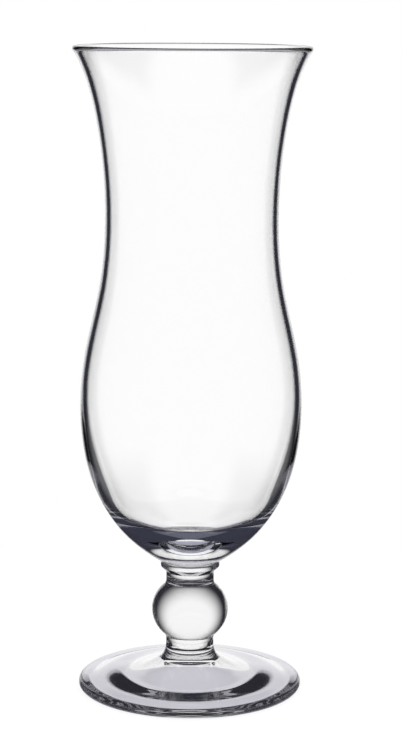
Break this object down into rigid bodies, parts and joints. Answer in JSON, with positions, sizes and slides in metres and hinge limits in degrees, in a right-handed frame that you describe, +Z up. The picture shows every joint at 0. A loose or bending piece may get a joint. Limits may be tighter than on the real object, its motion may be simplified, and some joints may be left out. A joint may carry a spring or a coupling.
{
  "type": "hurricane glass",
  "caption": "Tall clear hurricane glass: a flared rim, narrow waist and round belly on a thick base, carried by a collar, a knopped stem and a wide coned foot.",
  "frame": {"origin": "on the glass's axis, at the surface that the foot stands on", "axes": "+Z up along the axis of the glass, out of its mouth; X and Y lie in the surface it stands on, and the glass is round, so they have no front"},
  "size_m": [0.078, 0.078, 0.2147],
  "materials": {
    "clear_glass": "clear colourless soda-lime glass, fire-polished"
  },
  "bodies": {
    "root": {"foot": "clear_glass", "knop_stem": "clear_glass", "collar": "clear_glass", "bowl": "clear_glass"}
  },
  "joints": []
}
